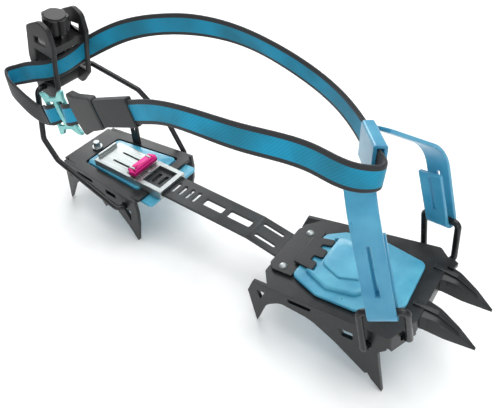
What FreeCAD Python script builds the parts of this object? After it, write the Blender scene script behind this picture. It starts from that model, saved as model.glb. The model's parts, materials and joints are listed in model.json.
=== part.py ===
import FreeCAD, Part
import math
import os
import re
import Sketcher
from FreeCAD import Placement, Rotation, Vector

doc = FreeCAD.newDocument("Crampon")
os.makedirs("parts", exist_ok=True)

# All driving sizes live in one sheet, in millimetres and degrees.
# X runs from heel to toe, Y to the inner side of the foot, Z up; the ground is at zero.
sheet = doc.addObject("Spreadsheet::Sheet", "Sizes")
driving = [
    ("steel", 2.6), ("wire", 2.0), ("pinHole", 2.9), ("archRound", 3.0),
    ("toeStart", 8), ("toeTop", 38), ("toeRise", 9), ("toeLength", 95), ("toeNear", 33),
    ("toeFar", 33), ("toeFlare", 8), ("toePoint", 52), ("toeRearPoint", 38),
    ("frontPoint", 32), ("frontDrop", 19), ("frontGap", 34), ("toeCentre", 10),
    ("heelTop", 41), ("heelBack", 176), ("heelFront", 98), ("heelNear", 20), ("heelFar", 26),
    ("heelFlare", 9), ("domeRise", 5), ("skin", 2.4), ("gap", 0.4),
    ("barHalf", 11.2), ("barThick", 2.2), ("barFloor", 41.6), ("barBack", 148),
    ("barPitch", 6.2), ("slotHalf", 5.2), ("slotWide", 1.5),
    ("adjustBack", 152), ("adjustFront", 111), ("ringFront", 86), ("adjustTop", 46.4),
    ("plateThick", 1.6), ("lockLong", 9), ("lockHalf", 13.2),
    ("bailX", 110), ("bailZ", 32), ("leverX", 184), ("leverZ", 100), ("leverLean", 12),
    ("leverHalf", 16), ("leverTall", 44), ("leverDeep", 24), ("cheek", 3.6),
    ("wheelRound", 8), ("screwRound", 2.6), ("nutRound", 4.6),
    ("bailTop", 22), ("harnessThick", 2.2), ("harnessWide", 15), ("legLong", 72),
    ("strapWide", 15), ("strapThick", 1.8), ("strapTop", 147),
    ("rivetRound", 1.8), ("originX", 34.5), ("originY", 4.04),
]
for row, (name, amount) in enumerate(driving, 1):
    sheet.set("A%d" % row, name)
    sheet.set("B%d" % row, str(amount))
    sheet.setAlias("B%d" % row, name)
doc.recompute()


def bound(text):
    """Write an expression of sheet names the way another object has to refer to it."""
    return re.sub(r"[a-z][A-Za-z]+", lambda word: "Sizes." + word.group(0), text)


def value(text):
    """Work out an expression of sheet names as a plain number."""
    if not isinstance(text, str):
        return float(text)
    return float(sheet.evalExpression(text))


def place(x, y, z, axis=(0, 0, 1), angle=0):
    return Placement(Vector(value(x), value(y), value(z)), Rotation(Vector(*axis), value(angle)))


standing = Rotation(Vector(1, 0, 0), 90)


def draw(body, loops, name):
    """Sketch closed loops on the body's XY plane; every corner is bound to the sheet."""
    sketch = body.newObject("Sketcher::SketchObject", name)
    plane = [o for o in body.Origin.OriginFeatures if o.Role == "XY_Plane"][0]
    sketch.AttachmentSupport = [(plane, "")]
    sketch.MapMode = "FlatFace"

    def tie(kind, *spots, text):
        index = sketch.addConstraint(Sketcher.Constraint(kind, *spots, value(text)))
        if isinstance(text, str):
            sketch.setExpression("Constraints[%d]" % index, bound(text))

    for loop in loops:
        first = sketch.GeometryCount
        if loop[0] == "circle":
            centre = Vector(value(loop[1]), value(loop[2]), 0)
            sketch.addGeometry(Part.Circle(centre, Vector(0, 0, 1), value(loop[3])))
            tie("DistanceX", -1, 1, first, 3, text=loop[1])
            tie("DistanceY", -1, 1, first, 3, text=loop[2])
            tie("Radius", first, text=loop[3])
            continue
        spots = [Vector(value(x), value(y), 0) for x, y in loop]
        count = len(spots)
        for i in range(count):
            sketch.addGeometry(Part.LineSegment(spots[i], spots[(i + 1) % count]))
        for i in range(count):
            after = first + (i + 1) % count
            sketch.addConstraint(Sketcher.Constraint("Coincident", first + i, 2, after, 1))
            tie("DistanceX", -1, 1, first + i, 1, text=loop[i][0])
            tie("DistanceY", -1, 1, first + i, 1, text=loop[i][1])
    return sketch


def cornersAt(shape, loop):
    """Names of the shape's upright edges that stand on these sketch corners."""
    wanted = [(value(x), value(y)) for x, y in loop]
    found = []
    for i, side in enumerate(shape.Edges):
        ends = [v.Point for v in side.Vertexes]
        if len(ends) < 2 or abs(ends[0].x - ends[1].x) + abs(ends[0].y - ends[1].y) > 0.001:
            continue
        if any(math.hypot(ends[0].x - x, ends[0].y - y) < 0.01 for x, y in wanted):
            found.append("Edge%d" % (i + 1))
    return found


def plate(name, loops, thick, where=None, soft=(), radius="archRound", edge=None, arches=()):
    """Pad a sketch; corners listed in soft are rounded, edge rounds both big faces.

    Arches is a list of (corners, radius) for wide curves in the outline.
    """
    body = doc.addObject("PartDesign::Body", name)
    sketch = draw(body, loops, name + "_outline")
    doc.recompute()
    pad = body.newObject("PartDesign::Pad", name + "_pad")
    pad.Profile = sketch
    if isinstance(thick, str):
        pad.setExpression("Length", bound(thick))
    else:
        pad.Length = thick
    doc.recompute()
    last = pad
    for i, (loop, size) in enumerate([(soft, radius)] + list(arches)):
        corners = cornersAt(last.Shape, loop)
        if not corners:
            continue
        curve = body.newObject("PartDesign::Fillet", "%s_round_%d" % (name, i + 1))
        curve.Base = (last, corners)
        curve.setExpression("Radius", bound(str(size)))
        doc.recompute()
        last = curve
    if edge:
        rims = []
        for i, face in enumerate(last.Shape.Faces):
            if abs(face.normalAt(0, 0).z) > 0.99:
                rims.append("Face%d" % (i + 1))
        rim = body.newObject("PartDesign::Fillet", name + "_edge")
        rim.Base = (last, rims)
        rim.Radius = edge
        doc.recompute()
    if where is not None:
        body.Placement = where
    return body


def box(name, lx, ly, lz, where):
    made = doc.addObject("Part::Box", name)
    for side, text in (("Length", lx), ("Width", ly), ("Height", lz)):
        if isinstance(text, str):
            made.setExpression(side, bound(text))
        else:
            setattr(made, side, text)
    made.Placement = where
    return made


def rod(name, radius, height, where):
    made = doc.addObject("Part::Cylinder", name)
    for side, text in (("Radius", radius), ("Height", height)):
        if isinstance(text, str):
            made.setExpression(side, bound(text))
        else:
            setattr(made, side, text)
    made.Placement = where
    return made


def fuse(name, parts, where=None):
    made = doc.addObject("Part::MultiFuse", name)
    made.Shapes = parts
    if where is not None:
        made.Placement = where
    return made


def cut(name, base, tool, where=None):
    made = doc.addObject("Part::Cut", name)
    made.Base = base
    made.Tool = tool
    if where is not None:
        made.Placement = where
    return made


def group(name, parts, where=None):
    made = doc.addObject("Part::Compound", name)
    made.Links = parts
    if where is not None:
        made.Placement = where
    return made


def feature(name, shape, where=None):
    made = doc.addObject("Part::Feature", name)
    made.Shape = shape
    if where is not None:
        made.Placement = where
    return made


def bentWire(spots, bend, radius):
    """Round wire along straight runs joined by tangent arcs."""
    points = [Vector(*p) for p in spots]
    edges = []
    start = points[0]
    for before, corner, after in zip(points, points[1:], points[2:]):
        inward = (before - corner).normalize()
        outward = (after - corner).normalize()
        half = inward.getAngle(outward) / 2
        reach = bend / math.tan(half)
        entry = corner + inward * reach
        leave = corner + outward * reach
        middle = (inward + outward).normalize()
        apex = corner + middle * (bend / math.sin(half) - bend)
        edges.append(Part.LineSegment(start, entry).toShape())
        edges.append(Part.Arc(entry, apex, leave).toShape())
        start = leave
    edges.append(Part.LineSegment(start, points[-1]).toShape())
    path = Part.Wire(edges)
    ring = Part.Wire([Part.makeCircle(radius, points[0], points[1] - points[0])])
    return path.makePipeShell([ring], True, True)


def ribbon(stations, wide, thick, stepLong=6, upright=Vector(0, 0, 1)):
    """Flat band through rectangles; a station is a point and the lean of its width from upright."""
    curve = Part.BSplineCurve()
    curve.interpolate([Vector(*s[:3]) for s in stations])
    knots = [curve.parameter(Vector(*s[:3])) for s in stations]
    count = max(2, int(curve.length() / stepLong))
    corners = [[], [], [], []]
    for i in range(count + 1):
        where = curve.parameterAtDistance(curve.length() * i / count, curve.FirstParameter)
        spot = curve.value(where)
        along = Vector(*curve.tangent(where)[0])
        after = next((k for k in range(1, len(knots)) if knots[k] >= where), len(knots) - 1)
        part = (where - knots[after - 1]) / (knots[after] - knots[after - 1])
        lean = math.radians(stations[after - 1][3] * (1 - part) + stations[after][3] * part)
        side = along.cross(upright).normalize()
        up = side.cross(along).normalize()
        across = up * math.cos(lean) + side * math.sin(lean)
        flat = along.cross(across).normalize()
        a = across * (wide / 2)
        b = flat * (thick / 2)
        for k, corner in enumerate([spot + a + b, spot - a + b, spot - a - b, spot + a - b]):
            corners[k].append(corner)
    faces = []
    for end in (0, -1):
        faces.append(Part.Face(Part.makePolygon([c[end] for c in corners] + [corners[0][end]])))
    for k in range(4):
        for i in range(count):
            near = Part.makeLine(corners[k][i], corners[k][i + 1])
            far = Part.makeLine(corners[(k + 1) % 4][i], corners[(k + 1) % 4][i + 1])
            faces.append(Part.makeRuledSurface(near, far))
    skin = Part.makeShell(faces)
    skin.sewShape()
    solid = Part.makeSolid(skin)
    if solid.Volume < 0:
        solid.reverse()
    return solid


nodes = []


def keep(made):
    nodes.append(made)
    return made


steel = value("steel")
wire = value("wire")

# ---- toe unit, drawn flat in its own frame and then tipped up toward the toe
toePlace = Placement(Vector(value("toeStart"), 0, value("toeTop")),
                     Rotation(Vector(0, 1, 0), -value("toeRise")))

ringLoop = [("2", "-24"), ("9", "-toeNear"), ("toeLength - 7", "-toeNear"),
            ("toeLength", "toeCentre - 26"), ("toeLength", "toeCentre + 24"),
            ("toeLength - 7", "toeFar + toeFlare"), ("10", "toeFar"), ("2", "24")]
holeLoop = [("26", "-19"), ("toeLength - 20", "-21"), ("toeLength - 13", "-8"),
            ("toeLength - 13", "24"), ("toeLength - 22", "30"), ("26", "21")]
rivetHoles = [("circle", "11", y, "rivetRound + 0.15") for y in ("-17", "17")]
toeRing = plate("toe_ring", [ringLoop, holeLoop] + rivetHoles, "steel", place(0, 0, "-steel"),
                soft=ringLoop[:2] + ringLoop[6:] + holeLoop)


def toeFlange(name, where):
    rearTip = ("-2", "-toeRearPoint")
    tip = ("toeLength - 9", "-toePoint")
    loop = [("0", "0"), ("-5", "-10"), rearTip, ("8", "-17"), ("19", "-10"), ("40", "-13"),
            ("56", "-24"), ("75", "-41"), ("77", "-39.5"), ("79", "-44"), tip,
            ("toeLength - 11", "-30"), ("toeLength - 12", "-16"), ("toeLength - 7", "-11"),
            ("toeLength - 7", "0")]
    holes = [[("2", "-6.5"), ("8", "-6.5"), ("4", "-14")],
             [("24", "-3"), ("42", "-3"), ("40", "-6"), ("26", "-6")],
             [("58", "-9"), ("68", "-9"), ("68", "-15"), ("61", "-15")],
             ("circle", "toeLength - 18", "-12", "pinHole")]
    return plate(name, [loop] + holes, "steel", where, soft=holes[1] + holes[2], radius="archRound / 3",
                 arches=[(loop[3:4], 16), (loop[4:5], 10), (loop[5:7], 22), (loop[12:13], 5)])


nearFlange = toeFlange("toe_flange_near",
                       Placement(Vector(0, -value("toeNear") + 0.01, 0), standing))
farTurn = math.degrees(math.atan2(value("toeFlare"), value("toeLength") - 17))
farWhere = Placement(Vector(0, value("toeFar") - 10 * math.tan(math.radians(farTurn)), 0),
                     Rotation(Vector(0, 0, 1), farTurn))
farWhere = farWhere.multiply(Placement(Vector(0, steel - 0.01, 0), standing))
farFlange = toeFlange("toe_flange_far", farWhere)


def skirt(name, start, end, deep, holeAt):
    """Short turned-down wall between two corners of the ring, with one hole for a bail foot."""
    start = Vector(value(start[0]), value(start[1]), 0)
    end = Vector(value(end[0]), value(end[1]), 0)
    run = (end - start).Length
    turn = math.degrees(math.atan2(end.y - start.y, end.x - start.x))
    loop = [(0, 0), (0, -deep), (run, -deep), (run, 0)]
    loops = [loop] + ([("circle", run * holeAt, -deep / 2, "pinHole")] if holeAt else [])
    where = Placement(start, Rotation(Vector(0, 0, 1), turn)).multiply(
        Placement(Vector(0, 0.01, 0), standing))
    return plate(name, loops, "steel", where)


nearCorner = skirt("toe_corner_near", ringLoop[2], ringLoop[3], 12, 0.5)
farCorner = skirt("toe_corner_far", ringLoop[4], ringLoop[5], 12, 0.5)
toeSkirt = skirt("toe_skirt", ringLoop[3], ringLoop[4], 9, None)
folds = [rod("toe_fold", "steel", 9, place(x, y, -9)) for x, y in ringLoop[2:6]]


def frontPointAt(name, y, turn):
    """One fluted front point: side profile and plan profile meet, with a rib on top."""
    root = value("toeLength") - 4
    side = [(0, 0), ("frontPoint * 0.45", "-frontDrop * 0.12"), ("frontPoint * 0.8", "-frontDrop * 0.5"),
            ("frontPoint + 4", "-frontDrop"), ("frontPoint * 0.6", "-frontDrop * 0.82"),
            ("frontPoint * 0.25", "-frontDrop * 0.6"), (0, "-frontDrop * 0.55")]
    plan = [(0, -8), ("frontPoint * 0.3", -6), ("frontPoint + 4", -1), ("frontPoint + 4", 1),
            ("frontPoint * 0.3", 6), (0, 8)]
    sidePlate = plate(name + "_side", [side], 16, Placement(Vector(0, 8, 0), standing),
                      soft=side[1:3], radius="archRound * 4")
    planPlate = plate(name + "_plan", [plan], 40, Placement(Vector(0, 0, -30), Rotation()))
    meet = doc.addObject("Part::MultiCommon", name + "_meet")
    meet.Shapes = [sidePlate, planPlate]
    rib = plate(name + "_rib", [[(0, 0), (0, 1.6), ("frontPoint * 0.45", "1.3 - frontDrop * 0.1"),
                                 ("frontPoint * 0.82", "1 - frontDrop * 0.5"),
                                 ("frontPoint * 0.95", "-frontDrop * 0.84"),
                                 ("frontPoint * 0.6", "-frontDrop * 0.5")]], 3,
                Placement(Vector(0, 1.5, 0), standing))
    return fuse(name, [meet, rib], Placement(Vector(root, y, -0.2), Rotation(Vector(0, 0, 1), turn)))


nearPoint = frontPointAt("front_point_near", value("toeCentre - frontGap / 2 + 1"), 1)
farPoint = frontPointAt("front_point_far", value("toeCentre + frontGap / 2 - 1"), -1)
cornerTab = plate("toe_tab", [[(0, 0), (9, -5), (12, 0), (9, 4), (0, 6)]], "steel",
                  Placement(Vector(value("toeLength") - 4, value("toeCentre") + 21, -steel),
                            Rotation(Vector(0, 0, 1), 20)))
keep(fuse("toe_frame", [toeRing, nearFlange, farFlange, nearCorner, farCorner, toeSkirt,
                        nearPoint, farPoint, cornerTab] + folds, toePlace))

# Anti-snow plate: cover above the sheet, plug through the opening, lip below.
coverLoop = [("20", "-21"), ("40", "-28.5"), ("66", "-28.5"), ("toeLength - 6", "-13"),
             ("toeLength - 8", "24"), ("58", "31"), ("32", "28"), ("21", "20")]
domeLoop = [("25", "-15"), ("44", "-23"), ("62", "-20"), ("toeLength - 24", "-6"),
            ("toeLength - 26", "14"), ("56", "22"), ("36", "21"), ("26", "15")]
stepLoop = [("34", "-8"), ("48", "-14"), ("60", "-10"), ("64", "3"), ("60", "11"), ("46", "14"),
            ("34", "9")]
cover = plate("toe_skin_cover", [coverLoop], "skin", place(0, 0, "gap"), soft=coverLoop,
              radius="archRound * 1.6", edge=0.8)
dome = plate("toe_skin_dome", [domeLoop], "domeRise", place(0, 0, "gap + 0.5"), soft=domeLoop,
             radius="archRound * 1.8", edge=1.8)
step = plate("toe_skin_step", [stepLoop], "domeRise + 1.6", place(0, 0, "gap + 0.5"),
             soft=stepLoop, radius="archRound * 1.4", edge=1.1)
plugLoop = [("28", "-17"), ("toeLength - 22", "-19"), ("toeLength - 15", "-7"),
            ("toeLength - 15", "22"), ("toeLength - 24", "27.6"), ("28", "19")]
plug = plate("toe_skin_plug", [plugLoop], "steel + gap * 3", place(0, 0, "-steel - gap * 2"),
             soft=plugLoop)
lipLoop = [("14", "-28"), ("toeLength - 12", "-29"), ("toeLength - 5", "-14"),
           ("toeLength - 5", "28"), ("toeLength - 12", "31"), ("14", "28")]
lip = plate("toe_skin_lip", [lipLoop], "skin", place(0, 0, "-steel - gap - skin"), soft=lipLoop,
            edge=0.8)
# The dome is cut back around the latch, which lies flat on the cover.
latchRoom = box("toe_skin_latch_room", 12.4, 32, 8, place(20, -15, "gap + skin"))
keep(cut("toe_skin", fuse("toe_skin_solid", [cover, dome, step, plug, lip]), latchRoom, toePlace))

# End plate of the bar with its rivets and the latch that holds the skin.
endLoop = [("2", "-18"), ("6", "-22"), ("20", "-22"), ("20", "22"), ("6", "22"), ("2", "18")]
endHoles = [("circle", "11", y, "rivetRound + 0.1") for y in ("-17", "17")]
keep(plate("bar_end_plate", [endLoop] + endHoles,
           "plateThick + 0.4", toePlace.multiply(place(0, 0, 0.05)), soft=endLoop[:2] + endLoop[4:]))
rivets = []
for side in (-1, 1):
    shank = rod("end_rivet_shank", "rivetRound", "steel + 2.5", place(11, 17 * side, "-steel - 0.4"))
    head = doc.addObject("Part::Cone", "end_rivet_head")
    head.setExpression("Radius1", bound("rivetRound * 1.6"))
    head.setExpression("Radius2", bound("rivetRound * 0.9"))
    head.Height = 1.1
    head.Placement = place(11, 17 * side, 2.1)
    rivets.append(fuse("end_rivet", [shank, head]))
keep(group("bar_rivets", rivets, toePlace))

latchLoop = [("16", "-12"), ("30", "-14"), ("30", "-7"), ("25", "-6"), ("25", "-2"), ("31", "-2"),
             ("31", "5"), ("25", "6"), ("25", "9"), ("31", "10"), ("31", "16"), ("16", "13")]
latchTop = plate("latch_top", [latchLoop], "plateThick", place(0, 0, "gap + skin + 0.2"),
                 soft=latchLoop[1:3] + latchLoop[5:7] + latchLoop[9:11], radius="archRound / 2")
latchFoot = box("latch_foot", 3.8, 22, 1.4, place(16, -10.5, 2.08))
keep(fuse("skin_latch", [latchTop, latchFoot], toePlace))

# ---- centre bar: a straight slotted strip that steps down to the toe unit at its front
barBack = value("barBack")
bend = -14
barFront = value("toeStart") + 1
barLoop = [("-barBack", "-barHalf"), (bend, "-barHalf"), (bend, "barHalf"), ("-barBack", "barHalf")]
crossSlots = []
spot = -65.6
while spot > -barBack + 8:
    crossSlots.append([(spot, "-slotHalf"), (spot + value("slotWide") * 2, "-slotHalf"),
                       (spot + value("slotWide") * 2, "slotHalf"), (spot, "slotHalf")])
    spot -= value("barPitch")
longSlots = [[(a, -3.4), (b, -3.4), (b, 3.4), (a, 3.4)] for a, b in ((-57, -40), (-36, -17))]
slotEnds = [corner for loop in crossSlots for corner in loop]
slotEnds += [corner for loop in longSlots for corner in loop]
straight = plate("bar_straight", [barLoop] + crossSlots + longSlots, "barThick",
                 place(0, 0, "barFloor"), soft=slotEnds + [barLoop[0], barLoop[3]],
                 radius="slotWide * 0.9")
drop = value("barFloor") - value("toeTop") - 0.1
slopeRun = barFront - bend
slope = math.degrees(math.atan2(drop, slopeRun))
slopeLong = math.hypot(slopeRun, drop)
twin = [[(3, y), (slopeLong - 4, y), (slopeLong - 4, y + 3), (3, y + 3)] for y in (-7, 4)]
barRamp = plate("bar_ramp", [[(-0.3, "-barHalf"), (slopeLong + 0.2, "-barHalf"),
                           (slopeLong + 0.2, "barHalf"), (-0.3, "barHalf")]] + twin, "barThick",
             Placement(Vector(bend, 0, value("barFloor")), Rotation(Vector(0, 1, 0), slope)),
             soft=[c for t in twin for c in t], radius="slotWide * 0.9")
keep(fuse("centre_bar", [straight, barRamp]))

# ---- toe bails: a wire loop on each side, its feet hooked through flange and corner
bailTop = value("bailTop")
footX = value("toeLength") - 18
hookX = value("toeLength") + 2.5
nearSide = -value("toeNear") - steel
nearBar = [Vector(footX - 2.5, nearSide - 6, bailTop - 2.2), Vector(hookX, nearSide + 2.2, bailTop + 2.8)]
nearRun = [(footX, nearSide + 5, -12), (footX, nearSide - 5, -12), nearBar[0], nearBar[1],
           (hookX, -26.6, -6), (hookX - 8.9, -23.3, -6)]
keep(feature("toe_bail_near", bentWire(nearRun, 3, wire), toePlace))
farSide = value("toeFar") + (footX - 10) * math.tan(math.radians(farTurn)) + steel
farBar = [Vector(footX - 2.5, farSide + 7, bailTop - 2), Vector(hookX, farSide - 0.5, bailTop + 2)]
farRun = [(footX, farSide - 6, -12), (footX, farSide + 5, -12), farBar[0], farBar[1],
          (hookX - 0.3, 43.2, -6), (hookX - 8.2, 35.3, -6)]
keep(feature("toe_bail_far", bentWire(farRun, 3, wire), toePlace))


# Yoke: a flat sleeve across the instep; the ankle strap runs through it.
farEntry = Vector(50, 3, value("strapTop") - 6)
nearExit = Vector(66, -19, value("strapTop") - 1)
across = (nearExit - farEntry).normalize()
flatSide = across.cross(Vector(0, 0, 1)).normalize()
upSide = flatSide.cross(across)
sleeveLong = (nearExit - farEntry).Length
strapWide = value("strapWide")
strapThick = value("strapThick")


def tube(name, long, tall, deep, wall, where):
    """Flat rectangular sleeve, open at both ends, along its own X."""
    outside = box(name + "_out", long, deep, tall, place(0, -deep / 2, -tall / 2))
    inside = box(name + "_in", long + 2, deep - 2 * wall, tall - 2 * wall,
                 place(-1, -deep / 2 + wall, -tall / 2 + wall))
    hollow = cut(name + "_hollow", outside, inside)
    doc.recompute()
    made = doc.addObject("Part::Fillet", name)
    made.Base = hollow
    rims = []
    for i, side in enumerate(hollow.Shape.Edges):
        ends = [v.Point for v in side.Vertexes]
        lengthwise = abs(ends[0].x - ends[1].x) > long * 0.9
        if lengthwise and abs(abs(ends[0].z) - tall / 2) < 0.01:
            rims.append((i + 1, wall * 0.9, wall * 0.9))
    made.Edges = rims
    made.Placement = where
    return made


keep(tube("harness_yoke", sleeveLong, strapWide + 5, strapThick + 5, value("harnessThick") - 0.4,
          Placement(farEntry, Rotation(across, flatSide, upSide, "XYZ"))))
room = value("gap")
yokeRoom = Part.makeBox(sleeveLong + 2 * room, strapThick + 5 + 2 * room, strapWide + 5 + 2 * room,
                        Vector(-room, -strapThick / 2 - 2.5 - room, -strapWide / 2 - 2.5 - room))
yokeRoom.Placement = Placement(farEntry, Rotation(across, flatSide, upSide, "XYZ"))


def leg(name, rod, rise, head, reach, round):
    """Moulded harness leg: turns under the wire, doubles back inside and bends in to the yoke."""
    foot = (rod[0] + rod[1]) / 2
    axle = (rod[1] - rod[0]).normalize()
    rise = rise - axle * axle.dot(rise - foot)
    head = head - axle * axle.dot(head - foot)
    up = (rise - foot).normalize()
    out = axle.cross(up)
    if out.dot(head - foot) > 0:
        out = out * -1
    long = reach
    end = head - foot
    tip = Vector(end.dot(up), end.dot(out), 0)
    corner = Vector(long, 0, 0)
    lean = (tip - corner).normalize()
    angle = math.atan2(-lean.y, lean.x)
    tangent = round * math.tan(angle / 2)
    centre = Vector(long - tangent, -round, 0)
    thick = value("harnessThick")
    inner = wire + 0.5
    outer = inner + thick

    def rim(offset, heading):
        return centre + Vector(math.sin(heading), math.cos(heading), 0) * (round + offset)

    def face(offset):
        bend = Part.Arc(rim(offset, 0), rim(offset, angle / 2), rim(offset, angle)).toShape()
        last = rim(offset, angle) + lean * ((tip - corner).Length - tangent)
        straight = Part.LineSegment(rim(offset, angle), last).toShape()
        first = Part.LineSegment(Vector(0, offset, 0), rim(offset, 0)).toShape()
        return [first, bend, straight], last

    outside, outsideEnd = face(outer)
    inside, insideEnd = face(inner)
    back = long * 0.75
    edges = outside + inside + [
        Part.Arc(Vector(0, -outer, 0), Vector(-outer, 0, 0), Vector(0, outer, 0)).toShape(),
        Part.Arc(Vector(0, -inner, 0), Vector(-inner, 0, 0), Vector(0, inner, 0)).toShape(),
        Part.LineSegment(outsideEnd, insideEnd).toShape(),
        Part.LineSegment(Vector(0, -inner, 0), Vector(back, -inner, 0)).toShape(),
        Part.LineSegment(Vector(back, -inner, 0), Vector(back, -outer, 0)).toShape(),
        Part.LineSegment(Vector(back, -outer, 0), Vector(0, -outer, 0)).toShape()]
    profile = Part.Face(Part.Wire(Part.__sortEdges__(edges)))
    wide = value("harnessWide")
    across = up.cross(out)
    solid = profile.extrude(Vector(0, 0, wide))
    slit = Part.makeBox(long * 0.5, outer * 4, 2.4, Vector(long * 0.2, -outer * 2, wide * 0.42))
    where = Placement(foot - across * (wide / 2), Rotation(up, out, across, "XYZ"))
    solid = solid.cut(slit)
    solid.Placement = toePlace.multiply(where)
    return feature(name, solid.cut(yokeRoom))


keep(leg("harness_leg_near", nearBar, Vector(74, -30, 60), Vector(66, -17, 94), 56, 22))
keep(leg("harness_leg_far", farBar, Vector(80, 44, 58), Vector(61, 8, 95), 46, 24))

# ---- heel unit
heelTop = value("heelTop")
back = "-heelBack"
front = "-heelFront"
heelRing = [(back, "-heelNear"), ("-heelBack + 50", "-heelNear - 5"), (front, "-heelNear - heelFlare / 2"),
            (front, "heelFar + heelFlare"), ("-heelBack + 50", "heelFar + 7"), (back, "heelFar")]
heelHole = [("-heelBack + 14", "-heelNear + 5"), ("-heelFront - 7", "-heelNear + 3"),
            ("-heelFront - 7", "heelFar + 3"), ("-heelBack + 14", "heelFar - 5")]
heelRivets = [("circle", "-heelBack + 9", "3", "2.7")]
heelPlate = plate("heel_ring", [heelRing, heelHole] + heelRivets, "steel",
                  place(0, 0, "heelTop - steel"), soft=heelRing + heelHole)


def heelFlange(name, start, turn, shift):
    """Side wall of the heel frame with two ground points and a small middle tooth."""
    long = value("heelBack") - value("heelFront")
    deep = "heelTop"
    loop = [(0, 0), (-2, -18), (-5, "-heelTop"), (6, -21), (17, -11), (33, -13), (42, -24),
            (46, -15), (55, -19), (long - 12, -30), (long - 4, "-heelTop"), (long, -22),
            (long + 1, -10), (long, 0)]
    holes = [[(long - 15, -12), (long - 6, -12), (long - 8, -23)],
             [(46, -4), (57, -4), (57, -8), (46, -8)], [(14, -3), (32, -3), (32, -6), (14, -6)],
             ("circle", 5, -11, 2.4), ("circle", "heelBack - bailX", "bailZ - heelTop", "pinHole")]
    where = Placement(start, Rotation(Vector(0, 0, 1), turn))
    where = where.multiply(Placement(Vector(0, shift, 0), standing))
    return plate(name, [loop] + holes, "steel", where, soft=holes[1] + holes[2],
                 radius="archRound / 3", arches=[(loop[3:4], 14), (loop[4:6], 9), (loop[7:8], 3),
                                                 (loop[8:10], 12), (loop[11:12], 14)])


heelLong = value("heelBack") - value("heelFront")
nearTurn = -math.degrees(math.atan2(value("heelFlare") / 2, heelLong))
heelNearWall = heelFlange("heel_flange_near",
                          Vector(-value("heelBack"), -value("heelNear") - 0.6, heelTop), nearTurn, 0.01)
farHeelTurn = math.degrees(math.atan2(value("heelFlare"), heelLong))
heelFarWall = heelFlange("heel_flange_far",
                         Vector(-value("heelBack"), value("heelFar") + 0.4, heelTop), farHeelTurn,
                         steel - 0.01)
heelEnd = plate("heel_end", [[(0, 0), (0, -13), (12, -9), (34, -9), (46, -13), (46, 0)]], "steel",
                Placement(Vector(-value("heelBack") + 0.01, value("heelFar"), heelTop),
                          Rotation(Vector(0, 0, 1), -90)).multiply(Placement(Vector(), standing)))
keep(fuse("heel_frame", [heelPlate, heelNearWall, heelFarWall, heelEnd]))

# Anti-snow plate of the heel sits in the opening and under the sheet, clear of the bar.
skinPlug = [("-heelBack + 15.5", "-heelNear + 6.5"), ("-heelFront - 8.5", "-heelNear + 4.5"),
            ("-heelFront - 8.5", "heelFar + 1.5"), ("-heelBack + 15.5", "heelFar - 6.5")]
skinLip = [("-heelBack + 13", "-heelNear + 1"), ("-heelFront + 9", "-heelNear - 1"),
           ("-heelFront + 9", "heelFar + 4"), ("-heelBack + 13", "heelFar - 1")]
windows = [[("-heelBack + 30", y), ("-heelBack + 42", y), ("-heelBack + 42", y + 6),
            ("-heelBack + 30", y + 6)] for y in (-9, 12)]
skinTopPlate = plate("heel_skin_plug", [skinPlug] + windows, "steel + gap * 2",
                     place(0, 0, "heelTop - steel - gap * 2"), soft=skinPlug)
skinLow = plate("heel_skin_lip", [skinLip] + windows, "skin",
                place(0, 0, "heelTop - steel - gap - skin"), soft=skinLip, edge=0.8)
keep(fuse("heel_skin", [skinTopPlate, skinLow]))

# Adjuster: folded silver channel over the bar, with an open end ring at its front.
half = value("barHalf") + value("gap")
plateThick = value("plateThick")
adjustTop = value("adjustTop")
channelLong = value("adjustBack") - value("adjustFront")
thinSlots = [[("-adjustBack + 12", y), ("-adjustBack + 30", y), ("-adjustBack + 30", y + 1.6),
              ("-adjustBack + 12", y + 1.6)] for y in (-6, 4.4)]
pinSlot = [[("-adjustFront - 4.4", -5.4), ("-adjustFront - 1", -5.4), ("-adjustFront - 1", 5.4),
            ("-adjustFront - 4.4", 5.4)]]
lidLoop = [("-adjustBack", -half - plateThick), ("-adjustFront", -half - plateThick),
           ("-adjustFront", half + plateThick), ("-adjustBack", half + plateThick)]
lid = plate("adjuster_lid", [lidLoop] + thinSlots + pinSlot, "plateThick",
            place(0, 0, "adjustTop - plateThick"), soft=[lidLoop[0], lidLoop[3]])
walls = []
for side in (-1, 1):
    y = half if side > 0 else -half - plateThick
    walls.append(box("adjuster_wall", channelLong, plateThick, adjustTop - heelTop - 0.1,
                     place(-value("adjustBack"), y, heelTop + 0.1)))
backLip = box("adjuster_lip", plateThick, 18, 3, place(-value("adjustBack"), -9, adjustTop - 0.5))
hingeX = -value("adjustFront") - value("lockLong") + 1
lockZ = adjustTop + 3.0
ears = []
for y in (-9, 7.5):
    ears.append(box("adjuster_ear", 4.8, 1.5, 5.6, place(hingeX, y, adjustTop - 0.3)))
earBore = rod("adjuster_ear_bore", 1.03, 40, place(hingeX + 2.4, 20, lockZ + 0.4, (1, 0, 0), 90))
keep(cut("adjuster_plate", fuse("adjuster_solid", [lid] + walls + [backLip] + ears), earBore))
ringLong = value("adjustFront") - value("ringFront")
ringUpper = box("ring_upper", ringLong - 0.4, 2 * (half + plateThick), adjustTop - heelTop - 0.1,
                place(-value("adjustFront") + 0.4, -half - plateThick, heelTop + 0.1))
ringUnder = box("ring_under", value("heelFront") - value("ringFront") - 0.6,
                2 * (half + plateThick), 2.4,
                place(-value("heelFront") + 0.6, -half - plateThick, "barFloor - 2.2"))
ringOut = fuse("ring_out", [ringUpper, ringUnder])
ringIn = box("ring_in", ringLong + 4, 2 * half, "barThick + 0.8",
             place(-value("adjustFront") - 2, -half, "barFloor - 0.4"))
ringWindow = box("ring_window", ringLong - 8, 2 * half - 4, 10,
                 place(-value("adjustFront") + 4.4, -half + 2, "barFloor"))
keep(cut("adjuster_ring", cut("ring_hollow", ringOut, ringIn), ringWindow))

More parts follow.
